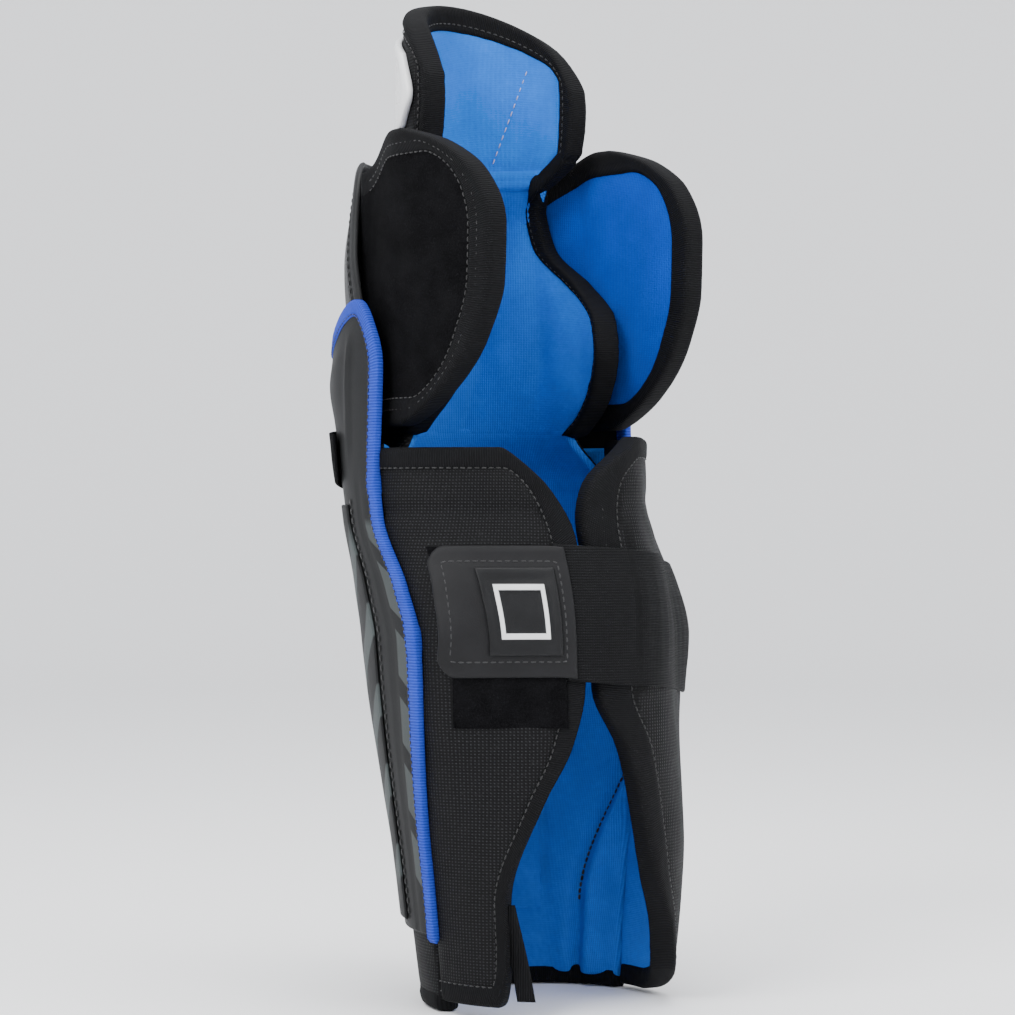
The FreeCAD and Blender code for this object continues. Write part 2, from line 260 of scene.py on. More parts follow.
def run_length(points):
    """The length of the line from its start to each of its points."""
    total, runs = 0, [0]
    for a, b in zip(points, points[1:]):
        total += (b - a).length
        runs.append(total)
    return runs


def pad(name, place, outer, inner, finishes, edge=4.5, step=4.5, crown=0.0, seams=(), relief=None,
        chart=unroll, swell=0.0, ripple=0.25):
    """A closed pad or plate with rounded edges. Its face is crowned between its edges and seams."""
    length_u = run_length([place(t / 12, 0.5, (outer + inner) / 2) for t in range(13)])[-1]
    length_v = run_length([place(0.5, t / 12, (outer + inner) / 2) for t in range(13)])[-1]
    us, vs = stations(length_u, edge, step), stations(length_v, edge, step)
    middle, half = (outer + inner) / 2, (inner - outer) / 2
    points, held, sides = [], [], {}
    for i, u in enumerate(us):
        for j, v in enumerate(vs):
            gap_u, gap_v = min(u, 1 - u) * length_u, min(v, 1 - v) * length_v
            thin = [math.sqrt(max(1 - (1 - min(gap / edge, 1)) ** 2, 0)) for gap in (gap_u, gap_v)]
            height = thin[0] * thin[1]
            sewn = min([gap_u, gap_v] + [abs(seam(u, v)) for seam in seams])
            rise = crown * (1 - math.exp(-sewn / 8))
            groove = 1.5 * sum(hump(seam(u, v), 0, 1.6) for seam in seams) if seams else 0
            rim = gap_u < 1e-6 or gap_v < 1e-6
            for face in (1,) if rim else (1, -1):
                lift = rise - groove + (relief(u, v, face) if relief else 0)
                at = place(u, v, middle)
                lift += ripple * noise.noise(at * 0.045 + Vector((0, 0, 31 * face)))
                sides[i, j, face] = len(points)
                points.append(place(u, v, middle - face * (half + lift) * height))
                held.append(1.0 if sewn < 2.2 else 0.0)
            if rim:
                sides[i, j, -1] = sides[i, j, 1]
    faces, weave, slots = [], [], []
    cloth = {(i, j): chart(place(u, v, middle), u, v) for i, u in enumerate(us) for j, v in enumerate(vs)}
    for i in range(len(us) - 1):
        for j in range(len(vs) - 1):
            ring = [(i, j), (i + 1, j), (i + 1, j + 1), (i, j + 1)]
            for face in (1, -1):
                corners = ring if face == 1 else ring[::-1]
                faces.append([sides[a, b, face] for a, b in corners])
                weave.append([cloth[a, b] for a, b in corners])
                slots.append(0 if face == 1 or len(finishes) == 1 else 1)
    piece = make_mesh(name, points, faces, weave, finishes, slots)
    if swell:
        blow_up(piece, held, swell)
    return piece


def blow_up(piece, held, swell):
    """Fills a pad with air while its seams are held, so that its cloth bulges and puckers between them."""
    group = piece.vertex_groups.new(name="sewn")
    group.add([i for i, hold in enumerate(held) if hold], 1.0, "REPLACE")
    start = [v.co.copy() for v in piece.data.vertices]
    cloth = piece.modifiers.new("filling", "CLOTH")
    setting = cloth.settings
    setting.quality = 4
    setting.mass = 0.25
    setting.tension_stiffness = setting.compression_stiffness = 12
    setting.bending_stiffness = 0.4
    setting.use_pressure = True
    setting.uniform_pressure_force = 4
    setting.vertex_group_mass = "sewn"
    setting.effector_weights.gravity = 0
    scene = bpy.context.scene
    for step in range(1, 17):
        scene.frame_set(step)
    filled = piece.evaluated_get(bpy.context.evaluated_depsgraph_get()).data
    for vertex, before, after in zip(piece.data.vertices, start, filled.vertices):
        move = after.co - before
        if move.length > swell * MM:
            move *= swell * MM / move.length
        vertex.co = before + move
    piece.modifiers.remove(cloth)
    piece.vertex_groups.clear()
    scene.frame_set(1)
    piece.data.update()


def refine(piece):
    """One round of subdivision, made part of the mesh."""
    rounds = piece.modifiers.new("rounds", "SUBSURF")
    rounds.levels = rounds.render_levels = 1
    rounded = bpy.data.meshes.new_from_object(piece.evaluated_get(bpy.context.evaluated_depsgraph_get()))
    piece.modifiers.remove(rounds)
    rounded.name = piece.name
    piece.data = rounded
    return piece


def folded_strip(name, place, outer, inner, finish, step=3.0, around=28, valleys=(0.6,), pucker=0.35,
                 thin_ends=4.0, square=0.5):
    """A binding folded over an edge: s runs along it, r across it from the edge inwards."""
    middle, half = (outer + inner) / 2, (inner - outer) / 2
    total = run_length([place(t / 60, 0.5, middle) for t in range(61)])[-1]
    count = int(total / step)
    rows = []
    runs = run_length([place(i / count, 0.4, middle) for i in range(count + 1)])
    for i in range(count + 1):
        s = i / count
        end = min(runs[i], runs[-1] - runs[i]) / thin_ends
        scale = math.sqrt(max(1 - (1 - min(end, 1)) ** 2, 0)) * 0.9 + 0.1
        row = []
        for k in range(around):
            a = 2 * math.pi * k / around
            c, d = math.cos(a), math.sin(a)
            across = 0.5 - 0.5 * math.copysign(abs(c) ** square, c)
            depth = math.copysign(abs(d) ** square, d) * half * scale
            dip = 0.9 * sum(hump(across, valley, 0.055) for valley in valleys)
            depth -= math.copysign(min(dip, abs(depth) * 0.6), depth) if abs(depth) > 0.2 else 0
            crease = noise.noise(Vector((runs[i] * 0.16, across * 1.5, 7 if d > 0 else 3)))
            depth += math.copysign(pucker * crease * abs(d), d)
            row.append(place(s, across, middle - depth))
        rows.append(row)
    points = [p for row in rows for p in row]
    faces, weave = [], []
    girth = run_length(rows[count // 2] + rows[count // 2][:1])
    for i in range(count):
        for k in range(around):
            n = (k + 1) % around
            faces.append([i * around + k, i * around + n, (i + 1) * around + n, (i + 1) * around + k])
            weave.append([(runs[i], girth[k], 0), (runs[i], girth[k + 1], 0),
                          (runs[i + 1], girth[k + 1], 0), (runs[i + 1], girth[k], 0)])
    for i, turn in ((0, -1), (count, 1)):
        faces.append([i * around + k for k in range(around)][::turn])
        weave.append([(runs[i], girth[k], 0) for k in range(around)][::turn])
    return make_mesh(name, points, faces, weave, [finish])


# Along one stitch: how far, how wide and how high over the cloth. Its ends dip into it.
STITCH_SECTIONS = ((0, 0.25, -0.5), (0.14, 0.85, 0.35), (0.5, 1, 0.6), (0.86, 0.85, 0.35), (1, 0.25, -0.5))


def stitch_row(name, at, finish, pitch=4.2, length=2.9, thick=0.38, zigzag=0.0):
    """Separate thread stitches along at(t), which gives a point on the cloth and the way out of it."""
    samples = [at(i / 240)[0] for i in range(241)]
    runs = run_length(samples)
    count = max(int(runs[-1] / pitch), 1)

    def t_at(run):
        low, high = 0, 240
        while high - low > 1:
            mid = (low + high) // 2
            low, high = (mid, high) if runs[mid] <= run else (low, mid)
        gap = runs[high] - runs[low]
        return (low + (run - runs[low]) / gap if gap else low) / 240

    points, faces = [], []
    for n in range(count):
        ends = [at(t_at(n * pitch + d)) for d in (0.2, 0.2 + length)]
        along = (ends[1][0] - ends[0][0])
        if along.length < 1e-6:
            continue
        out = ends[0][1].normalized()
        across = along.normalized().cross(out).normalized()
        lean = zigzag * (1 if n % 2 else -1)
        a, b = ends[0][0] - across * lean, ends[1][0] + across * lean
        along = (b - a).normalized()
        across = along.cross(out).normalized()
        base = len(points)
        for t, wide, high in STITCH_SECTIONS:
            centre = a.lerp(b, t) + out * thick * high
            for k in range(6):
                turn = k * math.pi / 3
                points.append(centre + (across * math.cos(turn) + out * math.sin(turn)) * thick * wide)
        for ring in range(4):
            for k in range(6):
                m = (k + 1) % 6
                first, second = base + ring * 6, base + ring * 6 + 6
                faces.append([first + k, first + m, second + m, second + k])
        faces.append([base + k for k in range(5, -1, -1)])
        faces.append([base + 24 + k for k in range(6)])
    return make_mesh(name, points, faces, None, [finish])


def on_skin(place, path, inset):
    """Turns a line of (u, v) on a piece into points and outward directions for stitches."""
    def at(t):
        u, v = path(t)
        low = place(u, v, inset)
        return low, low - place(u, v, inset + 1)

    return at


def carry(piece, body, slot, *nodes, fill=None):
    """Parents a piece to the empty of the body it is named with; when body is a hinge tuple, only bakes the piece's
    place into its mesh. Hides the hard parts it stands for. slot is not used.
    """
    if isinstance(body, str):
        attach(piece, body)
    else:
        first, second, start, end = body
        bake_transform(piece)
        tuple(start)
        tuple(end)
    if nodes:
        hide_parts(*nodes)
    return piece


# ---- Finishes ----
def link_or_set(tree, socket, value):
    if isinstance(value, Signal):
        tree.links.new(value.socket, socket)
    elif isinstance(value, (tuple, list)) and len(value) == 3 and socket.type == "RGBA":
        socket.default_value = (*value, 1)
    else:
        socket.default_value = value


class Signal:
    """A material's socket, which arithmetic signs add Math nodes to."""

    def __init__(self, socket):
        self.socket = socket

    def math(self, operation, *values):
        tree = self.socket.id_data
        node = tree.nodes.new("ShaderNodeMath")
        node.operation = operation
        for socket, value in zip(node.inputs, values):
            link_or_set(tree, socket, value)
        return Signal(node.outputs[0])

    def __add__(self, other):
        return self.math("ADD", self, other)

    def __sub__(self, other):
        return self.math("SUBTRACT", self, other)

    def __rsub__(self, other):
        return self.math("SUBTRACT", other, self)

    def __mul__(self, other):
        return self.math("MULTIPLY", self, other)

    def __abs__(self):
        return self.math("ABSOLUTE", self)

    __radd__, __rmul__ = __add__, __mul__


class Finish:
    """One material while it is being mixed."""

    def __init__(self, name, cloth=True):
        self.material = bpy.data.materials.new(name)
        self.material.use_nodes = True
        self.tree = self.material.node_tree
        self.tree.nodes.clear()
        self.solid = self.add("TexCoord", output="Object")
        if cloth:
            weave = self.add("Attribute", {"attribute_name": "weave"}, output="Vector")
            self.x, self.y = [self.add("SeparateXYZ", {}, {0: weave}, output=i) for i in (0, 1)]

    def add(self, kind, settings=None, inputs=None, output=0):
        """Any node but a Math node: its settings first, then its inputs."""
        node = self.tree.nodes.new("ShaderNode" + kind)
        for name, value in (settings or {}).items():
            setattr(node, name, value)
        for name, value in (inputs or {}).items():
            socket = node.inputs[name] if isinstance(name, int) else next(
                s for s in node.inputs if name in (s.identifier, s.name))
            link_or_set(self.tree, socket, value)
        return Signal(node.outputs[output])

    def ribs(self, value, pitch):
        """Rounded ribs from 0 to 1, pitch apart."""
        turns = value * (2 * math.pi / pitch)
        return turns.math("SINE", turns) * 0.5 + 0.5

    def clamp(self, value):
        return value.math("MINIMUM", value.math("MAXIMUM", value, 0), 1)

    def ramp(self, value, low, high):
        """0 below low, 1 above high and even in between."""
        return self.clamp((value - low) * (1 / (high - low)))

    def cloud(self, size, detail=3, rough=0.55, stretch=(1, 1, 1)):
        """Noise from 0 to 1 with patches about size millimetres across."""
        scale = tuple(s / (size * MM) for s in stretch)
        spread = self.add("VectorMath", {"operation": "MULTIPLY"}, {0: self.solid, 1: scale})
        return self.add("TexNoise", {}, {"Vector": spread, "Scale": 1, "Detail": detail, "Roughness": rough})

    def blend(self, share, first, second):
        return self.add("Mix", {"data_type": "RGBA"}, {"Factor_Float": share, "A_Color": first, "B_Color": second},
                        output=2)

    def bump(self, height, depth, under=None):
        inputs = {"Height": height, "Distance": depth * MM, "Strength": 1.0}
        if under is not None:
            inputs["Normal"] = under
        return self.add("Bump", {}, inputs)

    def done(self, colour, rough, normal=None, **fixed):
        """fixed are shader settings that are the same all over the piece."""
        names = {"sheen": "Sheen Weight", "sheen_rough": "Sheen Roughness", "sheen_tint": "Sheen Tint",
                 "coat": "Coat Weight", "coat_rough": "Coat Roughness", "shine": "Specular IOR Level"}
        inputs = {"Base Color": colour, "Roughness": rough}
        if normal is not None:
            inputs["Normal"] = normal
        inputs.update({names[key]: value for key, value in fixed.items()})
        shader = self.add("BsdfPrincipled", {}, inputs)
        end = self.tree.nodes.new("ShaderNodeOutputMaterial")
        self.tree.links.new(shader.socket, end.inputs["Surface"])
        return self.material


def shell_plastic():
    """Dark satin plastic, with slanted grey patches down its side flanges."""
    f = Finish("shell_satin_plastic")
    angle = abs(f.x)
    slant = f.y + angle * 1.4
    patch = f.ramp(slant.math("FRACT", slant * (1 / 34)), 0.30, 0.33) * f.ramp(angle, 79.2, 79.8)
    patch = patch * (1 - f.ramp(angle, 85.2, 85.8)) * f.ramp(f.y, 62, 66) * (1 - f.ramp(f.y, 246, 250))
    low = f.cloud(45, 3)
    fine = f.cloud(1.1, 2)
    base = f.blend(low, (0.011, 0.0113, 0.0117), (0.019, 0.0195, 0.020))
    base = f.blend(patch * 0.8, base, (0.055, 0.063, 0.063))
    scuff = f.ramp(f.cloud(9, 5, 0.7, (1, 1, 0.25)), 0.62, 0.78)
    base = f.blend(scuff * 0.2, base, (0.06, 0.062, 0.065))
    rough = 0.46 + low * 0.12 + scuff * 0.15 - patch * 0.05
    return f.done(base, rough, f.bump(fine, 0.06, f.bump(patch, 0.15)), shine=0.06)


def panel_plastic():
    """The front panel's plastic, with slanting grey bands moulded across it."""
    f = Finish("panel_banded_plastic")
    angle = abs(f.x)
    slant = f.y - angle * 1.9
    bands = slant.math("FRACT", slant * (1 / 41))
    band = f.ramp(bands, 0.52, 0.55) * (1 - f.ramp(bands, 0.93, 0.96)) * f.ramp(f.y, 60, 70)
    band = band * (1 - f.ramp(f.y, 236, 248))
    low = f.cloud(38, 3)
    base = f.blend(low, (0.011, 0.0113, 0.0117), (0.018, 0.0185, 0.019))
    base = f.blend(band * 0.85, base, (0.060, 0.070, 0.070))
    return f.done(base, 0.48 + low * 0.14, f.bump(f.cloud(1.0, 2), 0.06, f.bump(band, 0.3)), shine=0.06)


def knee_plastic():
    f = Finish("knee_plate_plastic")
    low = f.cloud(30, 4)
    wear = f.ramp(f.cloud(4, 5, 0.7), 0.6, 0.75)
    base = f.blend(low, (0.013, 0.0133, 0.0137), (0.024, 0.0245, 0.025))
    base = f.blend(wear * 0.2, base, (0.07, 0.07, 0.073))
    return f.done(base, 0.36 + low * 0.12 + wear * 0.1, f.bump(f.cloud(0.9, 2), 0.05), shine=0.1)


def ribbed_webbing(name, dark, light, pitch=1.15, rough=0.72, depth=0.28):
    """Webbing or binding with fine ribs across its run."""
    f = Finish(name)
    rib = f.ribs(f.x, pitch)
    thread = f.ribs(f.y, 0.55)
    cloud = f.cloud(14, 4, 0.6)
    height = rib * (0.75 + thread * 0.25)
    colour = f.blend(f.clamp(height * 0.7 + cloud * 0.5 - 0.12), dark, light)
    return f.done(colour, rough + cloud * 0.1, f.bump(height, depth, f.bump(f.cloud(2.2, 3), 0.2)), shine=0.1)


def woven_nylon():
    """Black packcloth whose raised yarns catch the light as rows of small dots."""
    f = Finish("black_woven_nylon")
    across, up = f.ribs(f.x, 1.6), f.ribs(f.y, 1.6)
    dots = across * up
    checks = f.ribs(f.x + f.y, 3.2)
    cloud = f.cloud(22, 4)
    dust = f.ramp(f.cloud(1.6, 2), 0.60, 0.72)
    dot = f.ramp(dots, 0.42, 0.85)
    colour = f.blend(dot * (0.4 + checks * 0.35), (0.0016, 0.0016, 0.0019), (0.036, 0.037, 0.041))
    colour = f.blend(dust * 0.10, colour, (0.06, 0.06, 0.065))
    colour = f.blend(cloud * 0.35, colour, (0.0035, 0.0035, 0.004))
    return f.done(colour, 0.62 - dot * 0.12 + cloud * 0.1, f.bump(dots, 0.28, f.bump(f.cloud(9, 3), 0.5)),
                  shine=0.12)


def black_velvet():
    """Brushed black tricot on the ears' faces and the loop panels: a short nap with paler brushed patches."""
    f = Finish("black_velvet_loop")
    nap = f.cloud(0.75, 3, 0.7)
    brushed = f.cloud(16, 4, 0.65)
    lint = f.ramp(f.cloud(1.3, 2), 0.64, 0.70)
    colour = f.blend(f.ramp(brushed, 0.35, 0.75), (0.0012, 0.0012, 0.0014), (0.0048, 0.0048, 0.0054))
    colour = f.blend(f.ramp(nap, 0.4, 0.75) * 0.5, colour, (0.013, 0.013, 0.0145))
    colour = f.blend(lint * 0.08, colour, (0.06, 0.06, 0.065))
    return f.done(colour, 0.9, f.bump(nap, 0.5, f.bump(brushed, 0.4)), shine=0.03)


def blue_knit(name, deep, bright, brushed=0.4):
    """Bright lining jersey: fine wales up the cloth and a faint brushed bloom."""
    f = Finish(name)
    wale = f.ribs(f.x, 1.25)
    course = f.ribs(f.y + wale * 0.3, 0.95)
    stitch = wale * 0.65 + course * 0.35
    cloud = f.cloud(26, 4, 0.6)
    fluff = f.cloud(2.6, 4, 0.7)
    colour = f.blend(f.clamp(stitch * 0.55 + fluff * brushed), deep, bright)
    colour = f.blend(f.ramp(cloud, 0.35, 0.7) * 0.3, colour, tuple(c * 0.72 for c in deep))
    return f.done(colour, 0.80 + fluff * 0.1, f.bump(stitch, 0.3, f.bump(fluff, 0.35)), sheen=0.05, sheen_rough=0.5,
                  sheen_tint=(0.2, 0.5, 1.0, 1), shine=0.06)


def thigh_white():
    f = Finish("white_gloss_plastic")
    low = f.cloud(35, 3)
    mark = f.ramp(f.cloud(5, 5, 0.75, (1, 1, 0.3)), 0.66, 0.76)
    base = f.blend(low, (0.70, 0.71, 0.72), (0.80, 0.80, 0.79))
    base = f.blend(mark * 0.3, base, (0.42, 0.42, 0.43))
    return f.done(base, 0.24 + low * 0.08 + mark * 0.2, f.bump(f.cloud(1.5, 2), 0.04), coat=0.35, coat_rough=0.15)


def elastic_weave():
    """Strap elastic: fine lengthwise ribs with a short crosswise ripple."""
    f = Finish("black_elastic")
    rib = f.ribs(f.y, 1.35)
    pick = f.ribs(f.x, 0.9)
    cloud = f.cloud(18, 4)
    height = rib * 0.7 + pick * 0.3
    colour = f.blend(f.clamp(height * 0.8 + cloud * 0.3 - 0.2), (0.0010, 0.0010, 0.0012), (0.0098, 0.0100, 0.0112))
    return f.done(colour, 0.66 + cloud * 0.1, f.bump(height, 0.35, f.bump(f.cloud(6, 3), 0.25)), shine=0.1)


def moulded_rubber(name, dark, light, rough):
    f = Finish(name)
    low = f.cloud(20, 4)
    grain = f.cloud(0.7, 2)
    dust = f.ramp(f.cloud(3, 5, 0.75), 0.62, 0.8)
    base = f.blend(low, dark, light)
    base = f.blend(dust * 0.12, base, (0.04, 0.04, 0.043))
    return f.done(base, rough + low * 0.1 + dust * 0.12, f.bump(grain, 0.12), shine=0.16)


def badge_rubber():
    """Moulded rubber with one plain pale frame on it."""
    f = Finish("badge_moulded_rubber")
    gap_x, gap_y = f.x.math("MINIMUM", f.x, BADGE_WIDE - f.x), f.y.math("MINIMUM", f.y, BADGE_HIGH - f.y)
    gap = gap_x.math("MINIMUM", gap_x, gap_y)
    bar = f.ramp(gap, 7.9, 8.3) * f.ramp(gap, 11.1, 10.7)
    low = f.cloud(12, 4)
    base = f.blend(low, (0.003, 0.0031, 0.0036), (0.007, 0.0072, 0.008))
    base = f.blend(bar, base, f.blend(low, (0.58, 0.58, 0.58), (0.72, 0.72, 0.72)))
    return f.done(base, 0.42 + low * 0.1, f.bump(f.cloud(0.7, 2), 0.1), shine=0.2)


def cell_foam():
    f = Finish("grey_cell_foam", cloth=False)
    cells = f.add("TexVoronoi", {}, {"Vector": f.solid, "Scale": 900})
    low = f.cloud(15, 3)
    base = f.blend(f.clamp(cells * 1.2), (0.018, 0.018, 0.020), (0.075, 0.076, 0.080))
    return f.done(base, 0.88 + low * 0.06, f.bump(cells, 0.4))


def hook_tape():
    f = Finish("black_hook_tape", cloth=False)
    dots = f.add("TexVoronoi", {}, {"Vector": f.solid, "Scale": 1100})
    base = f.blend(f.clamp(dots), (0.008, 0.008, 0.009), (0.05, 0.05, 0.055))
    return f.done(base, 0.6 + f.cloud(10) * 0.1, f.bump(dots, 0.5))


def thread(name, colour):
    f = Finish(name, cloth=False)
    twist = f.cloud(0.35, 2)
    base = f.blend(twist, tuple(c * 0.55 for c in colour), colour)
    return f.done(base, 0.55 + twist * 0.2, f.bump(twist, 0.15), sheen=0.2)


def studio_floor():
    f = Finish("studio_floor", cloth=False)
    return f.done(f.blend(f.cloud(600, 2), (0.93, 0.93, 0.93), (0.95, 0.95, 0.95)), 0.85)


SHELL_FINISH, PANEL_FINISH, KNEE_FINISH = shell_plastic(), panel_plastic(), knee_plastic()
TAPE_FINISH = ribbed_webbing("blue_grosgrain_tape", (0.0085, 0.021, 0.22), (0.034, 0.080, 0.56), 1.5, 0.6, 0.3)
BINDING_FINISH = ribbed_webbing("black_ribbed_binding", (0.0009, 0.0009, 0.0011), (0.0078, 0.0080, 0.0092))
WEBBING_FINISH = ribbed_webbing("black_webbing", (0.002, 0.002, 0.0023), (0.016, 0.0163, 0.018), 1.5)
NYLON_FINISH, VELVET_FINISH = woven_nylon(), black_velvet()
KNIT_FINISH = blue_knit("blue_lining_knit", (0.008, 0.095, 0.45), (0.031, 0.24, 0.86))
ROYAL_FINISH = blue_knit("royal_lining_knit", (0.002, 0.034, 0.27), (0.008, 0.085, 0.50), 0.3)
WHITE_FINISH, ELASTIC_FINISH = thigh_white(), elastic_weave()
TAB_FINISH = moulded_rubber("black_tab_rubber", (0.0048, 0.0048, 0.0053), (0.0105, 0.0105, 0.0115), 0.5)
BADGE_FINISH = badge_rubber()
FOAM_FINISH, HOOK_FINISH = cell_foam(), hook_tape()
GREY_THREAD = thread("grey_thread", (0.0085, 0.0088, 0.0098))
PALE_THREAD = thread("lavender_thread", (0.42, 0.42, 0.62))
BLACK_THREAD = thread("black_thread", (0.0025, 0.0025, 0.003))


# ---- The moulded shell ----
def shell_chart(half):
    """Charts the shell's skin as degrees from the shin and the height."""
    return lambda point, u, _v: (between(-half, half, u), point.z, 0)


def make_shell():
    def wall(u, v, inset):
        angle = between(-SHELL_HALF, SHELL_HALF, u) * (1 - 0.02 * soft_step(0.92, 1, v))
        return shell_point(angle, between(SHELL_BOTTOM, shell_top(angle) - 0.6, v), inset)

    def relief(u, v, face):
        if face < 0:
            return 0
        angle = abs(between(-SHELL_HALF, SHELL_HALF, u))
        z = between(SHELL_BOTTOM, shell_top(angle), v)
        ridge = 1.5 * hump(angle, 71 + (z - 320) * 0.03, 1.5)
        ridge *= soft_step(272, 292, z) * (1 - soft_step(340, 356, z))
        cup = 1.6 * soft_step(300, 318, z) * (1 - soft_step(60, 70, angle))
        step = -0.8 * hump(angle, 77.2, 0.8) * (1 - soft_step(262, 280, z))
        return (ridge + cup * 0.5 + step + 0.5 * hump(angle, 0, 26)) * (1 - soft_step(0.92, 0.965, v))

    piece = pad("shin_shell_moulding", wall, 0, SHELL, [SHELL_FINISH], edge=1.2, step=3.2, relief=relief,
                chart=shell_chart(SHELL_HALF), ripple=0.12)
    carry(piece, "guard", "shell_plastic", "shin_shell")

    panel_half = 67

    def front(u, v, inset):
        return shell_point(between(-panel_half, panel_half, u), between(SHELL_BOTTOM + 5, 257, v), inset)

    panel = pad("front_panel_skin", front, -1.9, -0.3, [PANEL_FINISH], edge=1.0, step=4,
                chart=shell_chart(panel_half), ripple=0.2)
    carry(panel, "guard", "panel_plastic", "front_panel")
    for word, side in SIDES:
        line = on_skin(shell_point, lambda t: (side * 69.2, between(48, 262, t)), -0.2)
        carry(stitch_row(f"shell_stitches_{word}", line, BLACK_THREAD, 5.0, 3.6, 0.5), "guard", "panel_plastic")


DEGREE = 1.95  # how far round the shell's side one degree is


def shell_rim():
    """The shell's edge from the foot of the near side over the top to the foot of the far side."""
    line = [(SHELL_HALF, z) for z in range(SHELL_BOTTOM - 4, 331, 3)]
    line += [(a / 4, shell_top(a / 4)) for a in range(350, -351, -6)]
    line += [(-SHELL_HALF, z) for z in range(330, SHELL_BOTTOM - 5, -3)]
    flat = [Vector((a * DEGREE, z)) for a, z in line]
    for _ in range(3):
        flat = [flat[0]] + [(p + q * 2 + r) / 4 for p, q, r in zip(flat, flat[1:], flat[2:])] + [flat[-1]]
    runs = run_length(flat)

    def at(s):
        want = s * runs[-1]
        i = min(max(next((k for k, r in enumerate(runs) if r >= want), 1), 1), len(runs) - 1)
        p, q = flat[i - 1], flat[i]
        t = (want - runs[i - 1]) / max(runs[i] - runs[i - 1], 1e-9)
        ahead, behind = flat[min(i + 2, len(flat) - 1)], flat[max(i - 3, 0)]
        along = (ahead - behind).normalized()
        return p.lerp(q, t), Vector((-along.y, along.x))

    return at


def make_edge_tape():
    rim = shell_rim()

    def place(s, r, inset):
        spot, inward = rim(s)
        spot = spot + inward * (r * 9 - 1.2)
        z = max(spot.y, SHELL_BOTTOM - 4)
        upper_fold = soft_step(262, 263.5, z) - soft_step(272, 273, z)
        lower_fold = soft_step(183, 184.5, z) - soft_step(196, 197, z)
        fold = 0.9 * (upper_fold + lower_fold)
        middle = SHELL / 2
        grown = middle + (inset - middle) * (1 + 0.25 * fold) if spot.x > 0 else inset
        return shell_point(spot.x / DEGREE, z, grown)

    tape = folded_strip("edge_tape", place, -TAPE_OUT, SHELL + TAPE_OUT, TAPE_FINISH, step=2.2, around=22,
                        valleys=(0.86,), pucker=0.25, thin_ends=2, square=0.42)
    carry(tape, "guard", "blue_tape", "edge_tape_near", "edge_tape_far", "edge_tape_top")
    row = on_skin(place, lambda t: (between(0.01, 0.99, t), 0.86), -TAPE_OUT + 0.35)
    carry(stitch_row("edge_tape_stitches", row, BLACK_THREAD, 3.4, 2.2, 0.28), "guard", "blue_tape")


def make_knee_plate():
    def wall(u, v, inset):
        z = between(PLATE_BOTTOM, PLATE_TOP, v)
        half = PLATE_HALF(z)
        return plate_point(between(-half, half, u), z, inset)

    def relief(u, v, face):
        if face < 0:
            return 0
        gap = min(min(u, 1 - u) * 178, (1 - v) * 106)
        return 1.1 * hump(gap, 3.2, 2.2) - 1.0 * hump(gap, 7.6, 1.3) + 0.4 * hump(gap, 12, 3)

    plate = pad("upper_knee_cap", wall, 0, PLATE, [KNEE_FINISH], edge=1.1, step=2.6, relief=relief,
                chart=lambda p, u, v: (u * 178, p.z, 0), ripple=0.1)
    carry(plate, "knee_plate", "shell_plastic", "upper_knee_plate")
    for word, side in SIDES:
        def path(t):
            z = between(350, 428, t)
            return side * (PLATE_HALF(z) - 8.5), z

        line = on_skin(plate_point, path, -0.2)
        carry(stitch_row(f"knee_plate_stitches_{word}", line, GREY_THREAD, 4.4, 3.0, 0.4), "knee_plate", "shell_plastic")


# ---- The thigh flap ----
CREASE = ("guard", "thigh_flap", (0, -0.050, 0.410), (0, -0.050, 0.438))


def thigh_area(u, v, inset):
    """The whole flap: u up from the crease, v round the thigh."""
    angle = between(-90, 90, v) * (1 - 0.05 * (1 - u) ** 3 - 0.04 * u**4)
    return thigh_point(angle, between(flap_foot(angle), flap_head(angle), u), inset)


